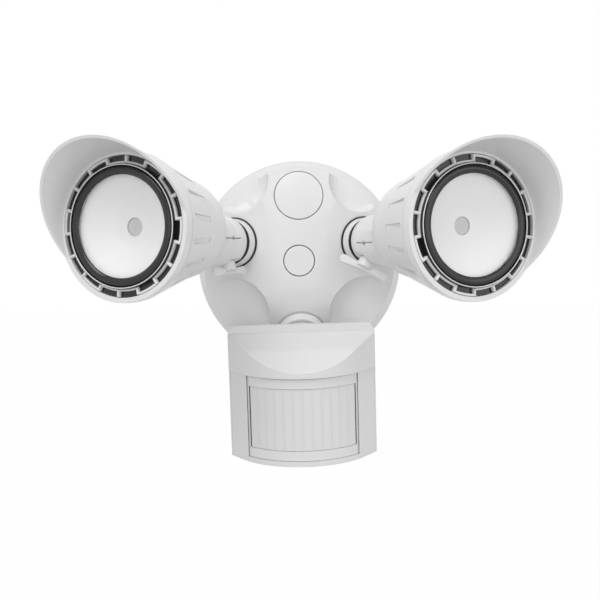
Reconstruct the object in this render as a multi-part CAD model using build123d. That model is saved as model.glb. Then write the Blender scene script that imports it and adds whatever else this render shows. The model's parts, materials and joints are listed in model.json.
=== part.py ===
import os
from math import atan, cos, degrees, radians, sin, sqrt, tan

from build123d import *

# The light stands on a wall: +X to the viewer's right, +Y into the wall, +Z up.
# The origin is the centre of the cover plate's back face. All sizes are in millimetres and degrees.

# Cover plate
COVER_R = 60.0
COVER_FRONT_R = 56.2
COVER_RIM_DEPTH = 12.0
COVER_FLOOR_DEPTH = 16.0
COVER_WALL = 2.5
COVER_RIM_WALL = 4.5
LAND_R = 54.6
LAND_DEPTH = 27.0
SIDE_FACET_START = 17.0
SIDE_FACET_SLOPE = 24.0
TOP_FACET_START = 22.0
TOP_FACET_SLOPE = 7.0
LOW_FACET_START = 18.0
LOW_FACET_SLOPE = 30.0
UPPER_SCALLOP_X = 36.4
UPPER_SCALLOP_Z = 46.8
UPPER_SCALLOP_R = 18.8
LOWER_SCALLOP_X = 41.7
LOWER_SCALLOP_Z = 33.2
LOWER_SCALLOP_R = 24.6
SCALLOP_FLARE = 0.3
SCALLOP_FILLET = 5.0
SCALLOP_FLOOR = 12.8
RIM_SHOULDER = 0.3
FLOOR_SLOPE = 8.0
SEAT_R = 17.4
SEAT_DEPTH = 3.0
SEAT_SKIN = 0.5
SPOT_R = 15.4
SPOT_RISE = 12.0

# Wall gasket and mounting bar
GASKET_WIDTH = 2.2
GASKET_DEPTH = 1.6
BAR_WIDTH = 16.0
BAR_THICKNESS = 2.0
BAR_SLOT_SPACING = 88.9
BAR_SLOT_LENGTH = 12.0
BAR_END = 1.55
BAR_LENGTH = BAR_SLOT_SPACING + BAR_SLOT_LENGTH + 2 * BAR_END
BAR_SLOT_WIDTH = 4.8
BAR_BOSS_R = 5.0
BAR_BOSS_HEIGHT = 3.5

# Centre screw and its cap
SCREW_R = 2.0
SCREW_HEAD_R = 4.0
SCREW_HEAD_HEIGHT = 2.6
SCREW_RUN = 0.3
CAP_R = 8.7
CAP_GAP = 0.5
CAP_THICKNESS = 1.6
CAP_SKIRT = 1.2
CAP_RECESS_DEPTH = 5.0
CAP_BOSS_WALL = 2.8

# Blank plug in the upper lobe
PLUG_Z = 38.0
PLUG_R = 13.9
PLUG_GAP = 0.5
PLUG_SINK = 1.6
PLUG_PROUD = 0.5
PLUG_DOME = 1.1
PLUG_STEM_R = 10.0
PLUG_STEM_LENGTH = 9.0
PLUG_NUT_R = 13.2
PLUG_NUT_HEIGHT = 3.0
THREAD_RUN = 0.05

# Hubs that carry the two lamp heads and the sensor
HUB_X = 38.0
HUB_Z = 11.0
SENSOR_HUB_X = 0.9
SENSOR_HUB_Z = -42.2
COLLAR_BASE_R = 14.1
COLLAR_MOUTH_R = 13.0
COLLAR_HEIGHT = 7.4
BASE_SEAL_R = 14.9
BASE_SEAL_T = 0.8
BASE_SEAL_BORE = 10.6
RUN_GAP = 0.2
STEM_R = 9.5
STEM_TAIL = 1.0
LEAD_BORE_R = 1.8
LEAD_BORE_X = 6.8
LOCKNUT_R = 12.0
LOCKNUT_HEIGHT = 3.5
LOCKNUT_NOTCHES = 6
LOCKNUT_NOTCH = 2.4
MOUTH_SEAL_DEPTH = 1.0
PIVOT_REACH = 17.0
BALL_R = 15.0
BALL_GAP = 0.3
TONGUE_T = 5.0
TONGUE_R = 6.6
TONGUE_HALF_WIDTH = 4.6
TONGUE_GAP = 0.3
PIN_R = 2.5
PIN_RUN = 0.1

# Wing screw and its thread insert
WING_SHOULDER_R = 4.6
WING_START = 15.3
WING_HEIGHT = 5.2
WING_SPAN_R = 14.8
WING_T = 2.2
WING_TIP_R = 2.2
WING_WAIST = 2.0
NECK_FLAT = 12.4
INSERT_R = 3.6
INSERT_LENGTH = 7.5
SCREW_TIP_GAP = 0.8

# Rest pose of the heads: swivel from upright, then tilt away from the hub's axis
LEFT_SWIVEL = 16.7
RIGHT_SWIVEL = 29.3
LEFT_TILT = 3.8
RIGHT_TILT = 2.7
LEFT_WING_TURN = 82.0
RIGHT_WING_TURN = -33.0
TILT_OUT = 40.0
TILT_IN = 20.0
FAN_SPARE = 1.0
FAN_STEPS = 4

# Lamp head, measured from the tilt pin to the crown ring's plane
HEAD_REACH = 94.7
HEAD_RISE = 6.8
SEAM_BACK = 6.0
SEAM_STEP = 0.3
SEAM_GROOVE = 0.7
SEAM_GROOVE_DEPTH = 1.2
SHOULDER_BACK = 49.0
SHOULDER_R = 28.3
SHOULDER_LINE = 0.35
NECK_START = 5.0
NECK_END = 17.5
NECK_R = 14.3
DOME_STEPS = 6
DOME_POWER = 1.8
RISE_POWER = 6.0
HEAD_WALL = 2.5
BULKHEAD = 20.0
FLUTE_COUNT = 18
FLUTE_WIDTH = 2.6
FLUTE_START = 10.5
FLUTE_END = 36.0
FLUTE_FRONT_R = 36.2
FLUTE_REAR_R = 31.3
WING_RELIEF = 0.8
NECK_HOLE_R = 1.3
NECK_HOLE_Z = 9.6
NECK_HOLE_INNER_Y = -2.6
NECK_HOLE_OUTER_Y = -8.3
NECK_HOLE_DEPTH = 2.5
NECK_SLIT = 0.6
NECK_SLIT_START = 2.0
NECK_SLIT_END = 19.0

# Visor ring and hood
CROWN_OUTER_R = 36.4
VISOR_RING_BORE = CROWN_OUTER_R + 0.3
VISOR_R = VISOR_RING_BORE + 2.7
SEAM_R = VISOR_R - SEAM_STEP
VISOR_GROWTH = 0.22
VISOR_WALL = 1.3
VISOR_REACH = 34.0
VISOR_LEAD = 2.1
VISOR_SLOPE = 0.52
SPIGOT_LENGTH = 4.0
SPIGOT_GAP = 0.2

# Lens stack
CROWN_BAND_OUTER = CROWN_OUTER_R - 3.0
CROWN_BAND_INNER = CROWN_BAND_OUTER - 1.0
CROWN_STEP_R = CROWN_OUTER_R - 1.2
CROWN_T = 1.8
CROWN_TEETH = 18
CROWN_TOOTH_WIDTH = 1.6
CROWN_NOTCH_EVERY = 3
LEFT_CROWN_TURN = -22.0
RIGHT_CROWN_TURN = -10.0
SEAL_GAP = 0.1
GASKET_INNER_R = CROWN_BAND_INNER - 5.8
LENS_GASKET_T = 1.6
LENS_GASKET_LIP = 1.8
LENS_R = GASKET_INNER_R + 3.3
LENS_T = 2.0
LENS_SEAT_R = LENS_R + SEAL_GAP
VISOR_SHOULDER_R = LENS_R - 1.0
LENS_SINK = 1.0
LED_BACK = 12.1
LED_R = 4.4
LED_T = 0.9
REFLECTOR_MOUTH_R = GASKET_INNER_R + 0.4
REFLECTOR_FLOOR_R = 8.4
REFLECTOR_WALL = 1.2
REFLECTOR_RISE = 0.9
LED_GAP = 0.5
LED_BOARD_R = 24.0
LED_BOARD_T = 1.6
LED_SCREW_RING = 18.0
LED_SCREW_COUNT = 2
LED_SCREW_LENGTH = 4.0
SPREADER_R = CROWN_OUTER_R - 3.6
SPREADER_T = 3.0
BOSS_COUNT = 3
BOSS_RING_R = SPREADER_R - 3.4
BOSS_R = 3.4
BOSS_LENGTH = 9.0
SMALL_SCREW_R = 1.5
SMALL_HEAD_R = 2.8
SMALL_HEAD_T = 1.8
SMALL_SCREW_LENGTH = 8.0
DRIVER_R = 24.0
DRIVER_T = 1.6
DRIVER_BACK = 33.0
DRIVER_POST_R = 3.0
DRIVER_POST_RING = 19.0
COIL_SIZE = 14.0
COIL_HEIGHT = 12.0
CAPACITOR_R = 5.0
CAPACITOR_HEIGHT = 13.0

# Sensor head, measured from its own tilt pin: x across, y up, z forward
SENSOR_SWIVEL = 1.2
SENSOR_FACE_DOWN = 9.0
SENSOR_TILT_UP = 15.0
SENSOR_TILT_DOWN = 8.0
SENSOR_WIDTH = 84.6
SENSOR_TOP = 9.9
BACK_TOP = 14.5
BACK_CHAMFER = 1.5
BACK_HIP = 2.6
SENSOR_BOTTOM = -62.0
SENSOR_SEAM = 3.0
SENSOR_BACK = -1.6
SENSOR_WALL = 2.2
SENSOR_WING_X = 34.0
SENSOR_WING_F = 16.0
SENSOR_SIDE_F = 4.8
SENSOR_FRONT = 32.8
ROOF_SLOPE = 24.2
ROOF_CREASE = 19.0
ROOF_FRONT_SLOPE = 38.8
BROW_BOTTOM = -11.4
BROW_LIP = 0.9
FRAME_GAP = 0.18
FRAME_TOP_GAP = 0.35
FRAME_HALF_WIDTH = 31.6
FRAME_BOTTOM = -59.1
FRAME_SETBACK = 0.8
FRAME_T = 1.6
FRAME_LAP = 0.8
BAND_HEIGHT = 5.6
JAMB_WIDTH = 1.2
WINDOW_GAP = 0.5
WINDOW_SETBACK = 0.5
WINDOW_T = 0.9
BOARD_FRONT = 8.0
BOARD_T = 1.6
BOARD_HALF_WIDTH = 26.0
BOARD_TOP = -17.0
BOARD_BOTTOM = -57.5
BOARD_POST_R = 2.6
BOARD_POST_X = 21.0
DETECTOR_R = 4.6
DETECTOR_LENGTH = 4.4
DETECTOR_Y = -34.5
PHOTOCELL_R = 2.5
PHOTOCELL_LENGTH = 2.0
PHOTOCELL_X = 15.0
PHOTOCELL_Y = -46.0
DIAL_SPACING = 17.0
DIAL_F = 17.0
DIAL_R = 4.6
DIAL_GAP = 0.3
DIAL_PROUD = 1.8
DIAL_FLANGE = 1.0
DIAL_SLOT_WIDTH = 1.2
DIAL_SLOT_DEPTH = 1.0
CASE_SCREW_X = 34.0
CASE_SCREW_TOP = 3.0
CASE_SCREW_BOTTOM = -55.0
CASE_BOSS_R = 3.4
CASE_BOSS_SKIN = 2.0
CASE_PAD_R = 4.4
SENSOR_NECK_FRONT = 10.5
PIVOT_HEAD_R = 4.2
PIVOT_HEAD_T = 2.2
PIVOT_NUT_R = 4.4
PIVOT_NUT_T = 3.2
PIVOT_POCKET_X = 19.0
PIVOT_POCKET_Y = 5.0
PIVOT_POCKET_Z = 5.0
PIVOT_POCKET_WALL = 1.4

BIG = 400.0
BASE = (Align.CENTER, Align.CENTER, Align.MIN)


def rod(radius, low, high, x=0.0, y=0.0):
    return Pos(x, y, low) * Cylinder(radius, high - low, align=BASE)


def pipe(outer, inner, low, high):
    return rod(outer, low, high) - rod(inner, low, high)


def turned(*points):
    return revolve(make_face(Plane.XZ * Polyline(*points, close=True)), Axis.Z)


def slab(low, high):
    size = [b - a for a, b in zip(low, high)]
    return Pos(*low) * Box(*size, align=(Align.MIN, Align.MIN, Align.MIN))


def around(count, start=0.0):
    return [Rot(0, 0, start + 360.0 * i / count) for i in range(count)]


def spun(vector, axis, angle):
    return vector.rotate(Axis((0, 0, 0), axis), angle)


def facing(origin, forward, up):
    return Plane(origin=origin, x_dir=up.cross(forward), z_dir=forward)


# Frames. In each, z points out of the object, y is up or along a tilt pin, and x completes them.
FORWARD = Vector(0, -1, 0)
UP = Vector(0, 0, 1)
WALL = facing((0, 0, 0), FORWARD, UP)
SIDE_FACET_DEPTH = LAND_DEPTH - (HUB_X - SIDE_FACET_START) * tan(radians(SIDE_FACET_SLOPE))
TOP_FACET_DEPTH = LAND_DEPTH - (PLUG_Z - TOP_FACET_START) * tan(radians(TOP_FACET_SLOPE))
LOW_FACET_DEPTH = LAND_DEPTH - (-SENSOR_HUB_Z - LOW_FACET_START) * tan(radians(LOW_FACET_SLOPE))


class Hub:
    # A swivel collar on a facet of the cover, and the pinned neck that it carries.
    def __init__(self, origin, axis, pin, outward, swivel, tilt):
        self.axis = axis
        self.level_pin = pin
        self.pin = spun(pin, axis, swivel * outward)
        self.facet = facing(origin, axis, pin)
        self.stud = facing(origin, axis, self.pin)
        self.pivot = Vector(*origin) + axis * PIVOT_REACH
        self.tilt_axis = self.pin * -outward
        self.forward = spun(axis, self.tilt_axis, tilt)
        self.neck = facing(self.pivot, self.forward, self.pin)


def side_hub(side, swivel, tilt):
    slope = radians(SIDE_FACET_SLOPE)
    axis = Vector(side * sin(slope), -cos(slope), 0)
    # Seen along the outward axis, a positive turn carries "up" towards the side.
    return Hub((side * HUB_X, -SIDE_FACET_DEPTH, HUB_Z), axis, UP, -side, swivel, tilt)


LEFT = side_hub(-1, LEFT_SWIVEL, LEFT_TILT)
RIGHT = side_hub(1, RIGHT_SWIVEL, RIGHT_TILT)
low = radians(LOW_FACET_SLOPE)
LOW = Hub(
    (SENSOR_HUB_X, -LOW_FACET_DEPTH, SENSOR_HUB_Z), Vector(0, -cos(low), -sin(low)), Vector(1, 0, 0), 1,
    SENSOR_SWIVEL, LOW_FACET_SLOPE - SENSOR_FACE_DOWN,
)
SENSOR = facing(LOW.pivot, LOW.forward, LOW.forward.cross(LOW.pin))
PLUG_AXIS = spun(FORWARD, Vector(1, 0, 0), -TOP_FACET_SLOPE)
PLUG = facing((0, -TOP_FACET_DEPTH, PLUG_Z), PLUG_AXIS, PLUG_AXIS.cross(Vector(1, 0, 0)))


def scallop(radius, inset):
    # A round hollow in the land's edge, with a filleted foot.
    foot = radius - SCALLOP_FLARE - SCALLOP_FILLET
    bend = SCALLOP_FILLET + inset
    low = SCALLOP_FLOOR - inset
    wall_low = SCALLOP_FLOOR + SCALLOP_FILLET
    side = Polyline(
        (foot + bend, wall_low), (radius + inset, LAND_DEPTH), (0, LAND_DEPTH), (0, 0), (foot, 0), (foot, low),
    )
    bend_line = RadiusArc((foot, low), (foot + bend, wall_low), -bend)
    return revolve(make_face(Plane.XZ * (side + bend_line)), Axis.Z)


def cover_shape(inset):
    # The cover's outside when inset is 0, and its hollow when inset is the wall.
    rim = COVER_RIM_WALL if inset else 0
    floor = COVER_FLOOR_DEPTH - inset
    front = COVER_RIM_DEPTH - inset
    shape = turned(
        (0, 0), (COVER_R - rim, 0), (COVER_R - rim, front * RIM_SHOULDER), (COVER_FRONT_R - rim, front),
        (0, front + (COVER_FRONT_R - rim) * tan(radians(FLOOR_SLOPE))),
    )
    land = rod(LAND_R - inset, 0, LAND_DEPTH - inset)
    for turn, start, slope in (
        (0, SIDE_FACET_START, SIDE_FACET_SLOPE), (180, SIDE_FACET_START, SIDE_FACET_SLOPE),
        (90, TOP_FACET_START, TOP_FACET_SLOPE), (-90, LOW_FACET_START, LOW_FACET_SLOPE),
    ):
        above = Pos(start, 0, LAND_DEPTH - inset / cos(radians(slope))) * Rot(0, slope, 0)
        land -= Rot(0, 0, turn) * above * slab((-BIG, -BIG, 0), (BIG, BIG, BIG))
    for x, z, radius in (
        (UPPER_SCALLOP_X, UPPER_SCALLOP_Z, UPPER_SCALLOP_R),
        (LOWER_SCALLOP_X, -LOWER_SCALLOP_Z, LOWER_SCALLOP_R),
    ):
        bowl = scallop(radius, inset)
        for side in (-1, 1):
            land -= Pos(side * x, z, 0) * bowl
    return shape + land


def in_frame(frame, solid):
    return Location(frame) * solid


def cover_plate():
    outside = in_frame(WALL, cover_shape(0))
    plate = outside - in_frame(WALL, cover_shape(COVER_WALL))
    for hub in (LEFT, RIGHT, LOW):
        plate += in_frame(hub.facet, rod(SEAT_R, -SEAT_DEPTH, SPOT_RISE)) & outside
    plug_pad = rod(PLUG_R + PLUG_GAP + CAP_BOSS_WALL, -PLUG_SINK - COVER_WALL, -SEAT_SKIN)
    plate += in_frame(PLUG, plug_pad)
    boss_r = CAP_R + CAP_GAP + CAP_BOSS_WALL
    plate += in_frame(WALL, rod(boss_r, LAND_DEPTH - CAP_RECESS_DEPTH - COVER_WALL, LAND_DEPTH - SEAT_SKIN))
    for hub in (LEFT, RIGHT, LOW):
        plate -= in_frame(hub.facet, rod(SPOT_R, 0, SPOT_RISE))
        plate -= in_frame(hub.facet, rod(STEM_R + PIN_RUN, -LAND_DEPTH, SPOT_RISE))
    plate -= in_frame(PLUG, rod(PLUG_STEM_R + THREAD_RUN, -LAND_DEPTH, 0))
    plate -= in_frame(PLUG, rod(PLUG_R + PLUG_GAP, -PLUG_SINK, SPOT_RISE))
    plate -= in_frame(WALL, rod(CAP_R + CAP_GAP, LAND_DEPTH - CAP_RECESS_DEPTH, BIG))
    plate -= in_frame(WALL, rod(SCREW_R + SCREW_RUN, 0, BIG))
    plate -= plate_gasket()
    return plate


def plate_gasket():
    groove_r = COVER_R - COVER_RIM_WALL / 2
    return in_frame(WALL, pipe(groove_r + GASKET_WIDTH / 2, groove_r - GASKET_WIDTH / 2, 0, GASKET_DEPTH))


def mounting_bar():
    bar = slab((-BAR_LENGTH / 2, -BAR_WIDTH / 2, 0), (BAR_LENGTH / 2, BAR_WIDTH / 2, BAR_THICKNESS))
    bar = fillet(bar.edges().filter_by(Axis.Z), BAR_WIDTH / 4)
    bar += rod(BAR_BOSS_R, BAR_THICKNESS, BAR_THICKNESS + BAR_BOSS_HEIGHT)
    bar -= rod(SCREW_R + THREAD_RUN, 0, BAR_THICKNESS + BAR_BOSS_HEIGHT)
    for side in (-1, 1):
        bar -= Pos(side * BAR_SLOT_SPACING / 2, 0, 0) * extrude(
            SlotOverall(BAR_SLOT_LENGTH, BAR_SLOT_WIDTH), BAR_THICKNESS
        )
    return in_frame(WALL, bar)


def cross_slot(head_r, top):
    arm = slab((-head_r / 2, -head_r / 8, top - head_r / 4), (head_r / 2, head_r / 8, top))
    return arm + Rot(0, 0, 90) * arm


def screw(shaft_r, head_r, head_t, length):
    # The head's underside is at z = 0, and the shaft runs down from it.
    return rod(shaft_r, -length, 0) + rod(head_r, 0, head_t) - cross_slot(head_r, head_t)


def centre_screw():
    seat_z = LAND_DEPTH - CAP_RECESS_DEPTH
    length = seat_z - BAR_THICKNESS / 2
    return in_frame(WALL, Pos(0, 0, seat_z) * screw(SCREW_R, SCREW_HEAD_R, SCREW_HEAD_HEIGHT, length))


def screw_cap():
    low = LAND_DEPTH - CAP_RECESS_DEPTH
    return in_frame(WALL, rod(CAP_R, low, LAND_DEPTH) - rod(CAP_R - CAP_SKIRT, low, LAND_DEPTH - CAP_THICKNESS))


def blank_plug():
    top = PLUG_PROUD + PLUG_DOME
    crest_r = (PLUG_R**2 + PLUG_DOME**2) / (2 * PLUG_DOME)
    head = rod(PLUG_R, -PLUG_SINK, top) & Pos(0, 0, top - crest_r) * Sphere(crest_r)
    stem = pipe(PLUG_STEM_R, PLUG_STEM_R - COVER_WALL, -PLUG_SINK - PLUG_STEM_LENGTH, -PLUG_SINK)
    return in_frame(PLUG, head + stem)


def ring_nut(outer, inner, low, high):
    nut = pipe(outer, inner, low, high)
    for place in around(LOCKNUT_NOTCHES):
        nut -= place * slab((outer - LOCKNUT_NOTCH / 2, -LOCKNUT_NOTCH / 2, low), (BIG, LOCKNUT_NOTCH / 2, high))
    return nut


def plug_nut():
    top = -PLUG_SINK - COVER_WALL
    return in_frame(PLUG, ring_nut(PLUG_NUT_R, PLUG_STEM_R + THREAD_RUN, top - PLUG_NUT_HEIGHT, top))


def base_seal(hub):
    return in_frame(hub.facet, pipe(BASE_SEAL_R, BASE_SEAL_BORE, 0, BASE_SEAL_T))


def ball_space():
    return Pos(0, 0, PIVOT_REACH) * Sphere(BALL_R + BALL_GAP)


def collar_r(z):
    low = BASE_SEAL_T + RUN_GAP
    return COLLAR_BASE_R - (COLLAR_BASE_R - COLLAR_MOUTH_R) * (z - low) / (COLLAR_HEIGHT - low)


def pin_rod(radius, low, high):
    return Rot(-90, 0, 0) * rod(radius, low, high)


def collar(hub):
    low = BASE_SEAL_T + RUN_GAP
    high = COLLAR_HEIGHT - MOUTH_SEAL_DEPTH
    cup = turned((0, low), (COLLAR_BASE_R, low), (collar_r(high), high), (0, high)) - ball_space()
    stem = rod(STEM_R, -SEAT_DEPTH - RUN_GAP - LOCKNUT_HEIGHT - STEM_TAIL, low)
    half = TONGUE_T / 2
    tongue = slab((-TONGUE_HALF_WIDTH, -half, low), (TONGUE_HALF_WIDTH, half, PIVOT_REACH))
    stud = cup + stem + tongue + Pos(0, 0, PIVOT_REACH) * pin_rod(TONGUE_R, -half, half)
    stud -= Pos(0, 0, PIVOT_REACH) * pin_rod(PIN_R + PIN_RUN, -half, half)
    stud -= rod(LEAD_BORE_R, -LAND_DEPTH, PIVOT_REACH / 2, LEAD_BORE_X, 0)
    return in_frame(hub.stud, stud)


def mouth_seal(hub):
    low = COLLAR_HEIGHT - MOUTH_SEAL_DEPTH
    ring = turned((0, low), (collar_r(low), low), (COLLAR_MOUTH_R, COLLAR_HEIGHT), (0, COLLAR_HEIGHT))
    return in_frame(hub.stud, ring - ball_space())


def locknut(hub):
    top = -SEAT_DEPTH - RUN_GAP
    return in_frame(hub.stud, ring_nut(LOCKNUT_R, STEM_R + THREAD_RUN, top - LOCKNUT_HEIGHT, top))


# Lamp head, in the neck frame: the origin is on the tilt pin, z forward and y along the pin.
DOME_REAR = HEAD_REACH - SHOULDER_BACK
BULKHEAD_SHARE = (DOME_REAR - BULKHEAD) / (DOME_REAR - NECK_END)
LED_BOARD_FRONT = LED_BACK + LED_T
SPREADER_FRONT = LED_BOARD_FRONT + LED_BOARD_T
SPREADER_BACK = SPREADER_FRONT + SPREADER_T


def dome(inset, last):
    # Sections from the shoulder back to the given share of the way to the neck.
    rings = []
    for i in range(DOME_STEPS + 1):
        share = last * i / DOME_STEPS
        radius = NECK_R + (SHOULDER_R - NECK_R) * (1 - share**DOME_POWER)
        place = Pos(0, HEAD_RISE * (1 - share**RISE_POWER), DOME_REAR - (DOME_REAR - NECK_END) * share)
        rings.append(place * Circle(radius - inset * (1 + share / 2)))
    return loft(rings)


def taper_r(back):
    return SEAM_R - (SEAM_R - SHOULDER_R) * (back - SEAM_BACK) / (SHOULDER_BACK - SEAM_BACK)


def head_cone(inset, front, rear):
    cone = Cone(taper_r(rear) - inset, taper_r(front) - inset, rear - front, align=BASE)
    return Pos(0, HEAD_RISE, HEAD_REACH - rear) * cone


def on_crown(solid):
    # Parts at the front are drawn with z = 0 on the crown ring's plane.
    return Pos(0, HEAD_RISE, HEAD_REACH) * solid


def tongue_room(first, last):
    # Room in the neck for the tongue at every tilt from first to last, towards -x.
    half_t = TONGUE_T / 2 + TONGUE_GAP
    half_w = TONGUE_HALF_WIDTH + TONGUE_GAP
    room = pin_rod(TONGUE_R + TONGUE_GAP, -half_t, half_t)
    for i in range(FAN_STEPS + 1):
        angle = first + (last - first) * i / FAN_STEPS
        room += Rot(0, angle, 0) * slab((-half_w, -half_t, -2 * BALL_R), (half_w, half_t, 0))
    return room


def housing(hub, side, tilt):
    body = head_cone(0, SEAM_BACK, SHOULDER_BACK) + dome(0, 1) + rod(NECK_R, NECK_START, NECK_END) + Sphere(BALL_R)
    body -= head_cone(HEAD_WALL, SEAM_BACK, SHOULDER_BACK) + dome(HEAD_WALL, BULKHEAD_SHARE)
    for place in around(BOSS_COUNT, 90):
        body += on_crown(place * rod(BOSS_R, -SPREADER_BACK - BOSS_LENGTH, -SPREADER_BACK, BOSS_RING_R, 0))
        hole = rod(SMALL_SCREW_R + THREAD_RUN, SPREADER_T - SMALL_SCREW_LENGTH - SCREW_RUN, 0, BOSS_RING_R, 0)
        body -= on_crown(place * Pos(0, 0, -SPREADER_BACK) * hole)
    flute = make_face(Plane.XZ * Polyline(
        (FLUTE_FRONT_R, -FLUTE_START), (BIG, -FLUTE_START), (BIG, -FLUTE_END), (FLUTE_REAR_R, -FLUTE_END),
        close=True,
    ))
    flute = extrude(flute, FLUTE_WIDTH / 2, both=True)
    for place in around(FLUTE_COUNT, 180 / FLUTE_COUNT):
        body -= on_crown(place * flute)
    body -= Pos(0, HEAD_RISE, DOME_REAR) * Torus(SHOULDER_R, SHOULDER_LINE)
    body -= pin_rod(WING_SPAN_R + WING_RELIEF, -BIG, -WING_START + WING_RELIEF)
    body -= pin_rod(BALL_R, -BIG, -NECK_FLAT) & slab((-BIG, -BIG, -BIG), (BIG, BIG, NECK_START))
    # The tongue leans to the head's outer side as the head tilts outward.
    room = tongue_room(tilt - TILT_IN - FAN_SPARE, tilt + TILT_OUT + FAN_SPARE)
    body -= room if side < 0 else mirror(room, Plane.YZ)
    body -= pin_rod(PIN_R + PIN_RUN, -BIG, 0)
    body -= pin_rod(INSERT_R, 0, TONGUE_T / 2 + TONGUE_GAP + INSERT_LENGTH)
    body -= rod(LEAD_BORE_R, 0, BULKHEAD + COVER_WALL)
    slit = slab((0, -NECK_SLIT / 2, NECK_SLIT_START), (BIG, NECK_SLIT / 2, NECK_SLIT_END))
    slit += Pos(0, 0, NECK_HOLE_Z) * Rot(0, 90, 0) * rod(NECK_HOLE_R, 0, BALL_R)
    slit = Pos(0, NECK_HOLE_INNER_Y, 0) * slit + Pos(0, NECK_HOLE_OUTER_Y, 0) * mirror(slit, Plane.YZ)
    core = dome(NECK_HOLE_DEPTH, 1) + rod(NECK_R - NECK_HOLE_DEPTH, 0, NECK_END) + Sphere(BALL_R - NECK_HOLE_DEPTH)
    body -= slit - core
    return in_frame(hub.neck, body)


def thread_insert(hub):
    low = TONGUE_T / 2 + TONGUE_GAP
    insert = pin_rod(INSERT_R, low, low + INSERT_LENGTH) - pin_rod(PIN_R + THREAD_RUN, low, low + INSERT_LENGTH)
    return in_frame(hub.neck, insert)


def wing_screw(hub, turn):
    tip = TONGUE_T / 2 + TONGUE_GAP + INSERT_LENGTH - SCREW_TIP_GAP
    body = pin_rod(PIN_R, -WING_START, tip)
    body += pin_rod(WING_SHOULDER_R, -WING_START - WING_HEIGHT / 2, -NECK_FLAT - RUN_GAP)
    low = -WING_START - WING_HEIGHT
    blade = Polyline(
        (-WING_SPAN_R, -WING_START), (-WING_SHOULDER_R, -WING_START - WING_WAIST / 2),
        (WING_SHOULDER_R, -WING_START - WING_WAIST / 2),
        (WING_SPAN_R, -WING_START), (WING_SPAN_R, low), (WING_SHOULDER_R, low + WING_WAIST / 2),
        (-WING_SHOULDER_R, low + WING_WAIST / 2), (-WING_SPAN_R, low), close=True,
    )
    face = make_face(blade)
    tips = [v for v in face.vertices() if abs(v.X) > WING_SHOULDER_R + THREAD_RUN]
    blade = extrude(fillet(tips, WING_TIP_R), WING_T / 2, both=True)
    return in_frame(hub.neck, Rot(0, turn, 0) * (body + blade))


def visor(hub):
    far_r = VISOR_R + VISOR_GROWTH * VISOR_REACH
    hood = turned(
        (VISOR_R - VISOR_WALL, 0), (VISOR_R, 0), (far_r, VISOR_REACH), (far_r - VISOR_WALL, VISOR_REACH),
    )
    beyond = Pos(0, 0, VISOR_LEAD) * Rot(degrees(atan(VISOR_SLOPE)), 0, 0) * slab((-BIG, -BIG, 0), (BIG, BIG, BIG))
    ledge = -LENS_GASKET_T - CROWN_T
    spigot_r = taper_r(SEAM_BACK + SPIGOT_LENGTH) - HEAD_WALL - SPIGOT_GAP
    ring = turned(
        (VISOR_RING_BORE, 0), (VISOR_R, 0), (VISOR_R, SEAM_GROOVE - SEAM_BACK),
        (VISOR_R - SEAM_GROOVE_DEPTH, SEAM_GROOVE - SEAM_BACK), (VISOR_R - SEAM_GROOVE_DEPTH, -SEAM_BACK),
        (spigot_r, -SEAM_BACK),
        (spigot_r, -SEAM_BACK - SPIGOT_LENGTH), (spigot_r - VISOR_WALL, -SEAM_BACK - SPIGOT_LENGTH),
        (spigot_r - VISOR_WALL, -SEAM_BACK), (VISOR_SHOULDER_R, -SEAM_BACK), (VISOR_SHOULDER_R, ledge),
        (VISOR_RING_BORE, ledge),
    )
    return in_frame(hub.neck, on_crown(ring + (hood - beyond)))


def crown_ring(hub, turn):
    ring = pipe(CROWN_OUTER_R, CROWN_BAND_INNER, -CROWN_T, 0)
    half = 180 / CROWN_TEETH
    apex = CROWN_TOOTH_WIDTH / 2 / sin(radians(half))
    arm = 2 * CROWN_OUTER_R
    wedge = make_face(Polyline(
        (apex, 0), (apex + arm, arm * tan(radians(half))), (apex + arm, -arm * tan(radians(half))), close=True
    ))
    wedge = extrude(wedge, CROWN_T, dir=(0, 0, -1))
    window = wedge - rod(CROWN_BAND_OUTER, -CROWN_T, 0)
    notch = wedge & rod(CROWN_STEP_R, -CROWN_T, 0)
    for i, place in enumerate(around(CROWN_TEETH, turn)):
        ring -= place * (window if i % CROWN_NOTCH_EVERY else notch)
    return in_frame(hub.neck, on_crown(ring))


def lens_gasket(hub):
    lens_front = LENS_GASKET_LIP - LENS_SINK
    low = -CROWN_T - LENS_GASKET_T
    ring = turned(
        (GASKET_INNER_R, lens_front), (GASKET_INNER_R, LENS_GASKET_LIP),
        (CROWN_BAND_INNER - SEAL_GAP, LENS_GASKET_LIP),
        (CROWN_BAND_INNER - SEAL_GAP, -CROWN_T), (CROWN_OUTER_R, -CROWN_T), (CROWN_OUTER_R, low),
        (LENS_SEAT_R, low), (LENS_SEAT_R, lens_front),
    )
    return in_frame(hub.neck, on_crown(ring))


def lens(hub):
    front = LENS_GASKET_LIP - LENS_SINK
    return in_frame(hub.neck, on_crown(rod(LENS_R, front - LENS_T, front)))


def reflector(hub):
    top = LENS_GASKET_LIP - LENS_SINK - LENS_T
    low = -CROWN_T - LENS_GASKET_T
    floor = -LED_BACK + REFLECTOR_RISE
    slope = (REFLECTOR_MOUTH_R - REFLECTOR_FLOOR_R) / (top - floor)
    wall = REFLECTOR_WALL
    foot = REFLECTOR_FLOOR_R + wall / 2
    dish = turned(
        (REFLECTOR_MOUTH_R, top), (LENS_R, top), (LENS_R, low),
        (REFLECTOR_FLOOR_R + slope * (low - floor + wall), low),
        (foot, floor - wall + (foot - REFLECTOR_FLOOR_R) / slope), (foot, -LED_BOARD_FRONT),
        (LED_R + LED_GAP, -LED_BOARD_FRONT), (LED_R + LED_GAP, floor), (REFLECTOR_FLOOR_R, floor),
    )
    return in_frame(hub.neck, on_crown(dish))


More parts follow.
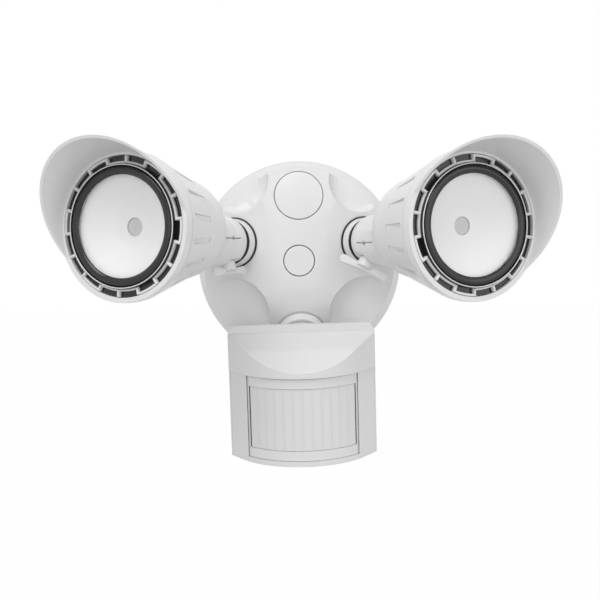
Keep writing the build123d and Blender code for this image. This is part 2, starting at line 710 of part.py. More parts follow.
def led_chip(hub):
    return in_frame(hub.neck, on_crown(rod(LED_R, -LED_BOARD_FRONT, -LED_BACK)))


def led_board(hub):
    board = rod(LED_BOARD_R, -SPREADER_FRONT, -LED_BOARD_FRONT)
    for place in around(LED_SCREW_COUNT):
        board -= place * rod(SMALL_SCREW_R + SCREW_RUN, -SPREADER_FRONT, -LED_BOARD_FRONT, LED_SCREW_RING, 0)
    return in_frame(hub.neck, on_crown(board))


def heat_spreader(hub):
    plate = rod(SPREADER_R, -SPREADER_BACK, -SPREADER_FRONT)
    for place in around(BOSS_COUNT, 90):
        plate += place * rod(DRIVER_POST_R, -DRIVER_BACK, -SPREADER_BACK, DRIVER_POST_RING, 0)
        plate -= place * rod(SMALL_SCREW_R + THREAD_RUN, -DRIVER_BACK, -SPREADER_BACK, DRIVER_POST_RING, 0)
        plate -= place * rod(SMALL_SCREW_R + SCREW_RUN, -SPREADER_BACK, -SPREADER_FRONT, BOSS_RING_R, 0)
    for place in around(LED_SCREW_COUNT):
        plate -= place * rod(SMALL_SCREW_R + THREAD_RUN, -SPREADER_BACK, -SPREADER_FRONT, LED_SCREW_RING, 0)
    return in_frame(hub.neck, on_crown(plate))


def driver_board(hub):
    back = -DRIVER_BACK - DRIVER_T
    board = rod(DRIVER_R, back, -DRIVER_BACK)
    for place in around(BOSS_COUNT, 90):
        board -= place * rod(SMALL_SCREW_R + SCREW_RUN, back, -DRIVER_BACK, DRIVER_POST_RING, 0)
    half = COIL_SIZE / 2
    board += slab((-half, -half, back - COIL_HEIGHT), (half, half, back))
    for side in (-1, 1):
        board += rod(CAPACITOR_R, back - CAPACITOR_HEIGHT, back, side * (half + CAPACITOR_R + COVER_WALL), 0)
    return in_frame(hub.neck, on_crown(board))


def head_screws(hub):
    small = screw(SMALL_SCREW_R, SMALL_HEAD_R, SMALL_HEAD_T, SMALL_SCREW_LENGTH)
    short = screw(SMALL_SCREW_R, SMALL_HEAD_R, SMALL_HEAD_T, LED_SCREW_LENGTH)
    screws = [place * Pos(BOSS_RING_R, 0, -SPREADER_FRONT) * small for place in around(BOSS_COUNT, 90)]
    screws += [place * Pos(LED_SCREW_RING, 0, -LED_BOARD_FRONT) * short for place in around(LED_SCREW_COUNT)]
    behind = Pos(DRIVER_POST_RING, 0, -DRIVER_BACK - DRIVER_T) * Rot(180, 0, 0)
    screws += [place * behind * small for place in around(BOSS_COUNT, 90)]
    return in_frame(hub.neck, on_crown(Compound(screws)))


# Sensor head, in its own frame: the origin is on the tilt pin, x across, y up and z forward.
LOW_TILT = LOW_FACET_SLOPE - SENSOR_FACE_DOWN
SENSOR_SKIN = BROW_LIP
ARC_DEPTH = SENSOR_FRONT - SENSOR_WING_F
ARC_R = (SENSOR_WING_X**2 + ARC_DEPTH**2) / (2 * ARC_DEPTH)
ARC_Z = SENSOR_FRONT - ARC_R
HALF_WIDTH = SENSOR_WIDTH / 2


def bow(setback, low, high):
    # The sensor's plan, bowed to the front, between two heights.
    side = HALF_WIDTH - setback
    wing_x = SENSOR_WING_X * (ARC_R - setback) / ARC_R
    wing_z = ARC_Z + sqrt((ARC_R - setback) ** 2 - wing_x**2)
    outline = Polyline(
        (-wing_x, -wing_z), (-side, -SENSOR_SIDE_F + setback), (-side, BIG), (side, BIG),
        (side, -SENSOR_SIDE_F + setback), (wing_x, -wing_z),
    ) + ThreePointArc((wing_x, -wing_z), (0, -SENSOR_FRONT + setback), (-wing_x, -wing_z))
    plan = Plane(origin=(0, high, 0), x_dir=(1, 0, 0), z_dir=(0, 1, 0)) * make_face(outline)
    return extrude(plan, low - high)


def under_roof(inset):
    # All that lies above the two slopes of the sensor's top.
    first = radians(ROOF_SLOPE)
    second = radians(ROOF_FRONT_SLOPE)
    crease_y = SENSOR_TOP - (ROOF_CREASE - SENSOR_SEAM) * tan(first)
    back = Pos(0, crease_y - inset / cos(first), ROOF_CREASE) * Rot(degrees(first), 0, 0)
    front = Pos(0, crease_y - inset / cos(second), ROOF_CREASE) * Rot(degrees(second), 0, 0)
    above = slab((-BIG, 0, -BIG), (BIG, BIG, BIG))
    return back * above + front * above


def ahead(z):
    return slab((-BIG, -BIG, z), (BIG, BIG, BIG))


def sensor_housing():
    above = SENSOR_TOP + SENSOR_FRONT
    body = bow(0, BROW_BOTTOM, above) - under_roof(0)
    body += bow(BROW_LIP, SENSOR_BOTTOM, BROW_BOTTOM)
    outside = body & ahead(SENSOR_SEAM)
    hollow = bow(SENSOR_WALL + BROW_LIP, SENSOR_BOTTOM + SENSOR_WALL, above) - under_roof(SENSOR_WALL)
    body = outside - hollow
    for x in (-CASE_SCREW_X, CASE_SCREW_X):
        for y in (CASE_SCREW_TOP, CASE_SCREW_BOTTOM):
            body += rod(CASE_BOSS_R, SENSOR_SEAM, SENSOR_SEAM + SMALL_SCREW_LENGTH, x, y) & outside
            hole_end = SENSOR_SEAM + SMALL_SCREW_LENGTH - CASE_BOSS_SKIN
            body -= rod(SMALL_SCREW_R + THREAD_RUN, SENSOR_SEAM, hole_end, x, y)
    half = FRAME_HALF_WIDTH
    body -= slab((-half, FRAME_BOTTOM, BOARD_FRONT + DETECTOR_LENGTH), (half, BROW_BOTTOM - FRAME_GAP, BIG))
    for i in (-1, 0, 1):
        body -= dial_place(i) * rod(DIAL_R + DIAL_GAP, -SENSOR_WALL, SENSOR_WALL)
    return in_frame(SENSOR, body)


def dial_place(i):
    # z points down, out of the sensor's underside.
    return Pos(i * DIAL_SPACING, SENSOR_BOTTOM, DIAL_F) * Rot(90, 0, 0)


def dial(i):
    knob = rod(DIAL_R, -SENSOR_WALL - RUN_GAP, DIAL_PROUD)
    knob += rod(DIAL_R + DIAL_FLANGE, -SENSOR_WALL - RUN_GAP - DIAL_FLANGE, -SENSOR_WALL - RUN_GAP)
    slot_low = DIAL_PROUD - DIAL_SLOT_DEPTH
    knob -= slab((-DIAL_R + DIAL_FLANGE, -DIAL_SLOT_WIDTH / 2, slot_low), (DIAL_R, DIAL_SLOT_WIDTH / 2, DIAL_PROUD))
    return in_frame(SENSOR, dial_place(i) * knob)


def sensor_back():
    tray = slab((-HALF_WIDTH, SENSOR_BOTTOM, SENSOR_BACK), (HALF_WIDTH, BACK_TOP, SENSOR_SEAM))
    corner = make_face(Polyline(
        (HALF_WIDTH, SENSOR_TOP), (HALF_WIDTH, BACK_TOP), (HALF_WIDTH - BACK_HIP, BACK_TOP), close=True
    ))
    corner = Pos(0, 0, SENSOR_BACK) * extrude(corner, SENSOR_SEAM - SENSOR_BACK)
    tray -= corner + mirror(corner, Plane.YZ)
    bevel = make_face(Plane.YZ * Polyline(
        (BACK_TOP - BACK_CHAMFER, SENSOR_BACK), (BACK_TOP, SENSOR_BACK), (BACK_TOP, SENSOR_BACK + BACK_CHAMFER),
        close=True,
    ))
    tray -= extrude(bevel, HALF_WIDTH, both=True)
    inner = slab(
        (-HALF_WIDTH + SENSOR_WALL, SENSOR_BOTTOM + SENSOR_WALL, SENSOR_BACK + SENSOR_WALL),
        (HALF_WIDTH - SENSOR_WALL, SENSOR_TOP - SENSOR_WALL, BIG),
    )
    tray -= inner
    for x in (-CASE_SCREW_X, CASE_SCREW_X):
        for y in (CASE_SCREW_TOP, CASE_SCREW_BOTTOM):
            tray += rod(CASE_PAD_R, SENSOR_BACK, SENSOR_SEAM, x, y)
            tray -= rod(SMALL_SCREW_R + SCREW_RUN, SENSOR_BACK, SENSOR_SEAM, x, y)
            tray -= rod(SMALL_HEAD_R + SCREW_RUN, SENSOR_BACK, SENSOR_BACK + SMALL_HEAD_T, x, y)
    for x in (-BOARD_POST_X, BOARD_POST_X):
        for y in (BOARD_TOP - BOARD_POST_R * 2, BOARD_BOTTOM + BOARD_POST_R * 2):
            tray += rod(BOARD_POST_R, SENSOR_BACK, BOARD_FRONT - BOARD_T, x, y)
            tray += rod(SMALL_SCREW_R, SENSOR_BACK, BOARD_FRONT + BOARD_T / 2, x, y)
    ball = Sphere(BALL_R)
    neck = (ball - ahead(SENSOR_SEAM) - (under_roof(0) & ahead(SENSOR_BACK)))
    neck += (ball & ahead(SENSOR_BACK)) - ahead(SENSOR_NECK_FRONT) - under_roof(SENSOR_WALL + RUN_GAP)
    tray += neck
    half = PIVOT_POCKET_Y + PIVOT_POCKET_WALL
    for side in (-1, 1):
        far = PIVOT_POCKET_X + PIVOT_POCKET_WALL
        top = PIVOT_POCKET_Z + PIVOT_POCKET_WALL
        block = slab((NECK_FLAT - PIVOT_POCKET_WALL, -half, SENSOR_BACK), (far, half, top))
        block -= under_roof(SENSOR_WALL + RUN_GAP)
        pocket = slab((NECK_FLAT, -PIVOT_POCKET_Y, -BIG), (PIVOT_POCKET_X, PIVOT_POCKET_Y, PIVOT_POCKET_Z))
        tray += block if side > 0 else mirror(block, Plane.YZ)
        tray -= pocket if side > 0 else mirror(pocket, Plane.YZ)
    tray -= Rot(0, 0, -90) * tongue_room(
        LOW_TILT - SENSOR_TILT_DOWN - FAN_SPARE, LOW_TILT + SENSOR_TILT_UP + FAN_SPARE
    )
    tray -= Rot(0, 90, 0) * rod(PIN_R + PIN_RUN, -NECK_FLAT, NECK_FLAT)
    tray -= rod(LEAD_BORE_R, 0, BALL_R)
    return in_frame(SENSOR, tray)


def sensor_frame():
    front = SENSOR_SKIN + FRAME_SETBACK
    high = BROW_BOTTOM - FRAME_GAP - FRAME_TOP_GAP
    low = FRAME_BOTTOM + FRAME_GAP
    half = FRAME_HALF_WIDTH - FRAME_GAP
    shell = bow(front, low, high) - bow(front + FRAME_T, low, high)
    rear = BOARD_FRONT + DETECTOR_LENGTH
    shell &= slab((-half, low, rear), (half, high, BIG))
    shell -= slab((-half + JAMB_WIDTH, low + BAND_HEIGHT, 0), (half - JAMB_WIDTH, high - BAND_HEIGHT, BIG))
    flange = bow(front + FRAME_T, low - FRAME_LAP, high + FRAME_LAP)
    flange -= bow(front + FRAME_T * 2, low - FRAME_LAP, high + FRAME_LAP)
    wide = half + FRAME_LAP
    flange &= slab((-wide, low - FRAME_LAP, rear), (wide, high + FRAME_LAP, BIG))
    flange -= slab((-half + JAMB_WIDTH, low + BAND_HEIGHT, 0), (half - JAMB_WIDTH, high - BAND_HEIGHT, BIG))
    return in_frame(SENSOR, shell + flange)


def sensor_window():
    front = SENSOR_SKIN + FRAME_SETBACK + WINDOW_SETBACK
    half = FRAME_HALF_WIDTH - FRAME_GAP - JAMB_WIDTH - WINDOW_GAP
    high = BROW_BOTTOM - FRAME_GAP - FRAME_TOP_GAP - BAND_HEIGHT - RUN_GAP
    low = FRAME_BOTTOM + FRAME_GAP + BAND_HEIGHT + RUN_GAP
    sheet = bow(front, low, high) - bow(front + WINDOW_T, low, high)
    return in_frame(SENSOR, sheet & slab((-half, low, BOARD_FRONT), (half, high, BIG)))


def sensor_board():
    half = BOARD_HALF_WIDTH
    board = slab((-half, BOARD_BOTTOM, BOARD_FRONT - BOARD_T), (half, BOARD_TOP, BOARD_FRONT))
    for x in (-BOARD_POST_X, BOARD_POST_X):
        for y in (BOARD_TOP - BOARD_POST_R * 2, BOARD_BOTTOM + BOARD_POST_R * 2):
            board -= rod(SMALL_SCREW_R + THREAD_RUN, BOARD_FRONT - BOARD_T, BOARD_FRONT, x, y)
    return in_frame(SENSOR, board)


def detector():
    can = rod(DETECTOR_R, BOARD_FRONT, BOARD_FRONT + DETECTOR_LENGTH, 0, DETECTOR_Y)
    return in_frame(SENSOR, can)


def photocell():
    cell = rod(PHOTOCELL_R, BOARD_FRONT, BOARD_FRONT + PHOTOCELL_LENGTH, PHOTOCELL_X, PHOTOCELL_Y)
    return in_frame(SENSOR, cell)


def case_screws():
    small = screw(SMALL_SCREW_R, SMALL_HEAD_R, SMALL_HEAD_T, SMALL_SCREW_LENGTH)
    screws = []
    for x in (-CASE_SCREW_X, CASE_SCREW_X):
        for y in (CASE_SCREW_TOP, CASE_SCREW_BOTTOM):
            screws.append(Pos(x, y, SENSOR_BACK + SMALL_HEAD_T) * Rot(180, 0, 0) * small)
    return in_frame(SENSOR, Compound(screws))


def pivot_screw():
    length = 2 * NECK_FLAT + PIVOT_NUT_T
    bolt = screw(PIN_R, PIVOT_HEAD_R, PIVOT_HEAD_T, length)
    return in_frame(SENSOR, Pos(NECK_FLAT, 0, 0) * Rot(0, 90, 0) * bolt)


def pivot_nut():
    nut = extrude(RegularPolygon(PIVOT_NUT_R, 6), PIVOT_NUT_T) - rod(PIN_R + THREAD_RUN, 0, PIVOT_NUT_T)
    return in_frame(SENSOR, Pos(-NECK_FLAT - PIVOT_NUT_T, 0, 0) * Rot(0, 90, 0) * nut)


pieces = {
    "cover_plate": cover_plate(),
    "plate_gasket": plate_gasket(),
    "mounting_bar": mounting_bar(),
    "centre_screw": centre_screw(),
    "screw_cap": screw_cap(),
    "blank_plug": blank_plug(),
    "plug_nut": plug_nut(),
    "sensor_housing": sensor_housing(),
    "sensor_back": sensor_back(),
    "sensor_frame": sensor_frame(),
    "sensor_window": sensor_window(),
    "sensor_board": sensor_board(),
    "detector": detector(),
    "photocell": photocell(),
    "left_dial": dial(-1),
    "middle_dial": dial(0),
    "right_dial": dial(1),
    "case_screws": case_screws(),
    "pivot_screw": pivot_screw(),
    "pivot_nut": pivot_nut(),
}
for name, hub in (("left", LEFT), ("right", RIGHT), ("sensor", LOW)):
    pieces[name + "_base_seal"] = base_seal(hub)
    pieces[name + "_collar"] = collar(hub)
    pieces[name + "_mouth_seal"] = mouth_seal(hub)
    pieces[name + "_locknut"] = locknut(hub)
for name, hub, side, tilt, turn, crown_turn in (
    ("left", LEFT, -1, LEFT_TILT, LEFT_WING_TURN, LEFT_CROWN_TURN),
    ("right", RIGHT, 1, RIGHT_TILT, RIGHT_WING_TURN, RIGHT_CROWN_TURN),
):
    pieces[name + "_housing"] = housing(hub, side, tilt)
    pieces[name + "_visor"] = visor(hub)
    pieces[name + "_crown_ring"] = crown_ring(hub, crown_turn)
    pieces[name + "_lens_gasket"] = lens_gasket(hub)
    pieces[name + "_lens"] = lens(hub)
    pieces[name + "_reflector"] = reflector(hub)
    pieces[name + "_led_chip"] = led_chip(hub)
    pieces[name + "_led_board"] = led_board(hub)
    pieces[name + "_heat_spreader"] = heat_spreader(hub)
    pieces[name + "_driver_board"] = driver_board(hub)
    pieces[name + "_head_screws"] = head_screws(hub)
    pieces[name + "_thread_insert"] = thread_insert(hub)
    pieces[name + "_wing_screw"] = wing_screw(hub, turn)

os.makedirs("parts", exist_ok=True)
for name, piece in pieces.items():
    export_step(piece, "parts/" + name + ".step")
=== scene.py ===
import json
import math

import bmesh
import bpy
from mathutils import Matrix, Vector


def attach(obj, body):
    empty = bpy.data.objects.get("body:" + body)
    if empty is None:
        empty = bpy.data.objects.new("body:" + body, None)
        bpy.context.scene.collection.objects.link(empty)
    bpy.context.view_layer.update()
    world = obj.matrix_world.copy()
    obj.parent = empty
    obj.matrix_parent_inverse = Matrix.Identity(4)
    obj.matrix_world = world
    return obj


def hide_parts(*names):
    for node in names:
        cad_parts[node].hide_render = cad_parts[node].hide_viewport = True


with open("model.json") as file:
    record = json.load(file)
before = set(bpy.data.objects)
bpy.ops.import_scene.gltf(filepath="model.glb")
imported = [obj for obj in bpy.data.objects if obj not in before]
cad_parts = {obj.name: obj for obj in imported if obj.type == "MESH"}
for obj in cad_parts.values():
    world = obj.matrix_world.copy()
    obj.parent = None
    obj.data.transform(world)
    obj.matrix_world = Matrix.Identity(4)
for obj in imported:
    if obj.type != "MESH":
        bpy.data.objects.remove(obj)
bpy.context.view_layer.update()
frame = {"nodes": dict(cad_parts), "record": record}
print("frame loaded:", len(frame["nodes"]), "nodes")

mm = 0.001
record = frame["record"]
bodyOf = {node: body for body, nodes in record["behaviour"]["bodies"].items() for node in nodes}
slotOf = {part["node"]: part["material_slot"] for part in record["subparts"]}

# each finish: base colour, roughness, and how much fine grain and edge softening it shows
finishes = {
    "white_plastic": {"color": (0.80, 0.80, 0.80), "roughness": 0.30, "grain": 0.08, "soft": 0.45},
    "dial_plastic": {"color": (0.74, 0.74, 0.74), "roughness": 0.35, "grain": 0.10, "soft": 0.2},
    "black_rubber": {"color": (0.012, 0.012, 0.012), "roughness": 0.45, "grain": 0.2},
    "pale_rubber": {"color": (0.56, 0.56, 0.56), "roughness": 0.5, "grain": 0.1},
    "gloss_black": {"color": (0.012, 0.012, 0.013), "roughness": 0.14, "grain": 0.05},
    "zinc_steel": {"color": (0.62, 0.62, 0.60), "roughness": 0.35, "metallic": 1.0, "grain": 0.2, "soft": 0.15},
    "nut_plastic": {"color": (0.70, 0.70, 0.69), "roughness": 0.5, "grain": 0.2, "soft": 0.3},
    "reflector_white": {"color": (0.93, 0.93, 0.93), "roughness": 0.5},
    "phosphor": {"color": (0.60, 0.60, 0.59), "roughness": 0.5, "grain": 0.2},
    "board_white": {"color": (0.80, 0.80, 0.78), "roughness": 0.45, "grain": 0.1},
    "board_green": {"color": (0.03, 0.16, 0.07), "roughness": 0.4, "grain": 0.2},
    "spreader_metal": {"color": (0.72, 0.72, 0.72), "roughness": 0.4, "metallic": 1.0, "grain": 0.3},
    "insert_brass": {"color": (0.70, 0.50, 0.20), "roughness": 0.3, "metallic": 1.0, "grain": 0.2},
    "window_plastic": {"color": (0.79, 0.79, 0.80), "roughness": 0.40},
    "cell_plastic": {"color": (0.40, 0.10, 0.05), "roughness": 0.3},
}
grain = {
    "scale": 900,  # bumps per metre of the moulded surface
    "height": 0.04 * mm,
    "edgeSamples": 4,
}
clearLens = {
    "color": (0.95, 0.96, 0.97),
    "roughness": 0.03,
    "alpha": 0.06,
}


def makeFinish(name, look):
    material = bpy.data.materials.new(name)
    material.use_nodes = True
    nodes = material.node_tree.nodes
    links = material.node_tree.links
    shader = nodes["Principled BSDF"]
    shader.inputs["Base Color"].default_value = (*look["color"], 1)
    shader.inputs["Metallic"].default_value = look.get("metallic", 0)
    shader.inputs["Roughness"].default_value = look["roughness"]
    rounded = None
    if "soft" in look:
        rounded = nodes.new("ShaderNodeBevel")  # moulded edges catch a thin highlight
        rounded.samples = grain["edgeSamples"]
        rounded.inputs["Radius"].default_value = look["soft"] * mm
        links.new(rounded.outputs["Normal"], shader.inputs["Normal"])
    if "grain" in look:
        coordinates = nodes.new("ShaderNodeTexCoord")
        noise = nodes.new("ShaderNodeTexNoise")
        noise.inputs["Scale"].default_value = grain["scale"]
        bump = nodes.new("ShaderNodeBump")
        bump.inputs["Strength"].default_value = look["grain"]
        bump.inputs["Distance"].default_value = grain["height"]
        links.new(coordinates.outputs["Object"], noise.inputs["Vector"])
        links.new(noise.outputs["Fac"], bump.inputs["Height"])
        if rounded:
            links.new(rounded.outputs["Normal"], bump.inputs["Normal"])
        links.new(bump.outputs["Normal"], shader.inputs["Normal"])
    return material


def makeLens():
    material = bpy.data.materials.new("clear_lens")
    material.use_nodes = True
    shader = material.node_tree.nodes["Principled BSDF"]
    shader.inputs["Base Color"].default_value = (*clearLens["color"], 1)
    shader.inputs["Roughness"].default_value = clearLens["roughness"]
    shader.inputs["Alpha"].default_value = clearLens["alpha"]
    return material


materials = {name: makeFinish(name, look) for name, look in finishes.items()}
materials["clear_lens"] = makeLens()
print("finishes made:", len(materials))

surface = {
    "merge": 0.01 * mm,
    "sharp": math.radians(32),
}


def addPiece(name, mesh, body, slot, covers=None):
    mesh.materials.clear()
    mesh.materials.append(materials[slot])
    mesh.polygons.foreach_set("use_smooth", [True] * len(mesh.polygons))
    mesh.set_sharp_from_angle(angle=surface["sharp"])
    piece = bpy.data.objects.new(name, mesh)
    bpy.context.scene.collection.objects.link(piece)
    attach(piece, body)
    if covers:
        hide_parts(covers)
    return piece


def finishNode(node):
    # the solid's own faces, merged and shaded as one smooth moulding
    shape = bmesh.new()
    shape.from_mesh(frame["nodes"][node].data)
    bmesh.ops.remove_doubles(shape, verts=shape.verts, dist=surface["merge"])
    corners = [vertex.co[:] for vertex in shape.verts]
    shape.verts.index_update()
    faces = [[vertex.index for vertex in face.verts] for face in shape.faces]
    shape.free()
    mesh = bpy.data.meshes.new(node + "Finished")
    mesh.from_pydata(corners, [], faces)
    addPiece(mesh.name, mesh, bodyOf[node], slotOf[node], node)


gasketNodes = ("left_lens_gasket", "right_lens_gasket")
for node in frame["nodes"]:
    if node not in gasketNodes:
        finishNode(node)
print("mouldings finished")

# each lamp head's own frame: the pivot is on the tilt pin, pin is up and out is forward
heads = {
    "left": {
        "pivot": (-44.9145, -33.1805, 11),
        "pin": (-0.262517, 0.11688, 0.957822),
        "out": (-0.463833, -0.885718, -0.019045),
    },
    "right": {
        "pivot": (44.9145, -33.1805, 11),
        "pin": (0.447073, 0.19905, 0.872069),
        "out": (0.443814, -0.895823, -0.023053),
    },
}
crown = {
    "reach": 94.7,
    "rise": 6.8,
    "spokes": 18,
    "inner": 32.75,
    "outer": 36.3,
    "thickness": 0.55,
    "turn": {"left": -22.0, "right": -10.0},
}


def placed(pivot, out, pin, x=0.0, y=0.0, z=0.0):
    # a matrix from millimetres in a piece's own frame to metres in the scene
    out = Vector(out).normalized()
    pin = Vector(pin).normalized()
    across = pin.cross(out)
    turn = Matrix((across, pin, out)).transposed().to_4x4()
    origin = Vector(pivot) + across * x + pin * y + out * z
    return Matrix.Scale(mm, 4) @ Matrix.Translation(origin) @ turn


def onCrown(side):
    head = heads[side]
    return placed(head["pivot"], head["out"], head["pin"], 0, crown["rise"], crown["reach"])


def lathe(profile, steps):
    # a closed ring from (radius, height) points
    corners = []
    faces = []
    count = len(profile)
    for step in range(steps):
        angle = 2 * math.pi * step / steps
        corners += [(radius * math.cos(angle), radius * math.sin(angle), height) for radius, height in profile]
        for i in range(count):
            here = step * count
            there = (step + 1) % steps * count
            faces.append((here + i, here + (i + 1) % count, there + (i + 1) % count, there + i))
    mesh = bpy.data.meshes.new("ring")
    mesh.from_pydata(corners, [], faces)
    shape = bmesh.new()
    shape.from_mesh(mesh)
    bmesh.ops.recalc_face_normals(shape, faces=shape.faces)
    shape.to_mesh(mesh)
    shape.free()
    return mesh


gasket = {
    "steps": 160,
    # flange under the crown, thin outer lip, then the rolled main lip over the lens
    "profile": [
        (36.3, -3.4), (36.3, -1.85), (32.3, -1.85), (32.3, 1.1), (32.2, 1.45), (31.9, 1.7), (31.55, 1.7),
        (31.3, 1.45), (31.15, 1.0), (31.05, 0.75), (30.95, 0.75), (30.85, 1.05), (30.55, 1.5), (30.1, 1.85),
        (29.4, 2.05), (28.6, 2.05), (27.8, 1.85), (27.15, 1.5), (26.75, 1.15), (26.6, 0.85), (30.0, 0.85),
        (30.0, -3.4),
    ],
}
lensRimAndHighlight = {
    "steps": 160,
    # a slim pale ring that stands in the gasket's outer lip: partly the crown's white lip, partly a painted
    # highlight along the lip
    "profile": [(32.0, 0.9), (32.0, 1.75), (31.85, 1.95), (31.6, 1.95), (31.45, 1.75), (31.45, 0.9)],
}
for side in heads:
    mesh = lathe(gasket["profile"], gasket["steps"])
    mesh.transform(onCrown(side))
    node = side + "_lens_gasket"
    addPiece(side + "LensGasket", mesh, bodyOf[node], slotOf[node], node)
    # pale ring: painted highlight along the gasket's outer lip, and partly the crown's own white lip
    mesh = lathe(lensRimAndHighlight["profile"], lensRimAndHighlight["steps"])
    mesh.transform(onCrown(side))
    addPiece(side + "LensRimAndHighlight", mesh, side + "_head", "white_plastic")
print("lens gaskets and rims made")


def newTree(name, sizes):
    # a geometry tree with one named input for each size
    tree = bpy.data.node_groups.new(name, "GeometryNodeTree")
    tree.interface.new_socket("Geometry", in_out="OUTPUT", socket_type="NodeSocketGeometry")
    for label, value in sizes.items():
        if label == "Finish":
            kind = "NodeSocketMaterial"
        else:
            kind = "NodeSocketInt" if isinstance(value, int) else "NodeSocketFloat"
        socket = tree.interface.new_socket(label, in_out="INPUT", socket_type=kind)
        if kind != "NodeSocketMaterial":
            socket.default_value = value
    start = tree.nodes.new("NodeGroupInput")
    end = tree.nodes.new("NodeGroupOutput")
    return tree, start, end


def add(tree, kind, links=(), **settings):
    node = tree.nodes.new(kind)
    for key, value in settings.items():
        setattr(node, key, value)
    for socket, source in links:
        if isinstance(source, bpy.types.NodeSocket):
            tree.links.new(source, node.inputs[socket])
        else:
            node.inputs[socket].default_value = source
    return node


def endTree(tree, start, end, instances):
    real = add(tree, "GeometryNodeRealizeInstances", [("Geometry", instances)])
    paint = add(tree, "GeometryNodeSetMaterial", [
        ("Geometry", real.outputs["Geometry"]), ("Material", start.outputs["Finish"]),
    ])
    tree.links.new(paint.outputs["Geometry"], end.inputs["Geometry"])


def grow(tree, sizes, name, place):
    # the tree's result as a plain mesh, moved to its place
    holder = bpy.data.objects.new(name + "Holder", bpy.data.meshes.new(name))
    bpy.context.scene.collection.objects.link(holder)
    modifier = holder.modifiers.new("build", "NODES")
    modifier.node_group = tree
    for socket in tree.interface.items_tree:
        if socket.in_out == "INPUT" and socket.name in sizes:
            modifier[socket.identifier] = sizes[socket.name]
    evaluated = holder.evaluated_get(bpy.context.evaluated_depsgraph_get())
    mesh = bpy.data.meshes.new_from_object(evaluated)
    holder.modifiers.remove(modifier)
    bpy.data.objects.remove(holder)
    mesh.transform(place)
    mesh.name = name
    return mesh


facets = {
    "bar": 16,
    "crest": 32,
    "crestSection": 6,
}


def wheelTree():
    # round-topped bars set out like spokes on a circle
    sizes = {"Count": 18, "Inner": 30.0, "Outer": 33.0, "Thickness": 0.5, "Turn": 0.0, "Finish": None}
    tree, start, end = newTree("spokeWheel", sizes)
    out = start.outputs
    length = add(tree, "ShaderNodeMath", [(0, out["Outer"]), (1, out["Inner"])], operation="SUBTRACT")
    total = add(tree, "ShaderNodeMath", [(0, out["Outer"]), (1, out["Inner"])], operation="ADD")
    middle = add(tree, "ShaderNodeMath", [(0, total.outputs[0]), (1, 0.5)], operation="MULTIPLY")
    circle = add(tree, "GeometryNodeMeshCircle", [("Vertices", out["Count"]), ("Radius", middle.outputs[0])])
    bar = add(tree, "GeometryNodeMeshCylinder", [
        ("Vertices", facets["bar"]), ("Radius", out["Thickness"]), ("Depth", length.outputs[0]),
    ])
    laid = add(tree, "GeometryNodeTransform", [
        ("Geometry", bar.outputs["Mesh"]), ("Rotation", (0.0, math.pi / 2, 0.0)),
    ])
    index = add(tree, "GeometryNodeInputIndex")
    full = add(tree, "ShaderNodeMath", [(0, 2 * math.pi), (1, out["Count"])], operation="DIVIDE")
    angle = add(tree, "ShaderNodeMath", [(0, index.outputs[0]), (1, full.outputs[0])], operation="MULTIPLY")
    spin = add(tree, "ShaderNodeCombineXYZ", [("Z", angle.outputs[0])])
    turn = add(tree, "ShaderNodeCombineXYZ", [("Z", out["Turn"])])
    copies = add(tree, "GeometryNodeInstanceOnPoints", [
        ("Points", circle.outputs["Mesh"]), ("Instance", laid.outputs["Geometry"]), ("Rotation", spin.outputs[0]),
    ])
    turned = add(tree, "GeometryNodeTransform", [
        ("Geometry", copies.outputs["Instances"]), ("Rotation", turn.outputs[0]),
    ])
    endTree(tree, start, end, turned.outputs["Geometry"])
    return tree


def threadTree():
    # rolled thread crests stacked along a shaft
    sizes = {"Count": 10, "Radius": 2.0, "Pitch": 0.8, "Crest": 0.15, "Finish": None}
    tree, start, end = newTree("screwThread", sizes)
    out = start.outputs
    step = add(tree, "ShaderNodeCombineXYZ", [("Z", out["Pitch"])])
    line = add(tree, "GeometryNodeMeshLine", [("Count", out["Count"]), ("Offset", step.outputs[0])])
    path = add(tree, "GeometryNodeCurvePrimitiveCircle", [
        ("Resolution", facets["crest"]), ("Radius", out["Radius"]),
    ])
    section = add(tree, "GeometryNodeCurvePrimitiveCircle", [
        ("Resolution", facets["crestSection"]), ("Radius", out["Crest"]),
    ])
    crest = add(tree, "GeometryNodeCurveToMesh", [
        ("Curve", path.outputs["Curve"]), ("Profile Curve", section.outputs["Curve"]),
    ])
    copies = add(tree, "GeometryNodeInstanceOnPoints", [
        ("Points", line.outputs["Mesh"]), ("Instance", crest.outputs["Mesh"]),
    ])
    endTree(tree, start, end, copies.outputs["Instances"])
    return tree


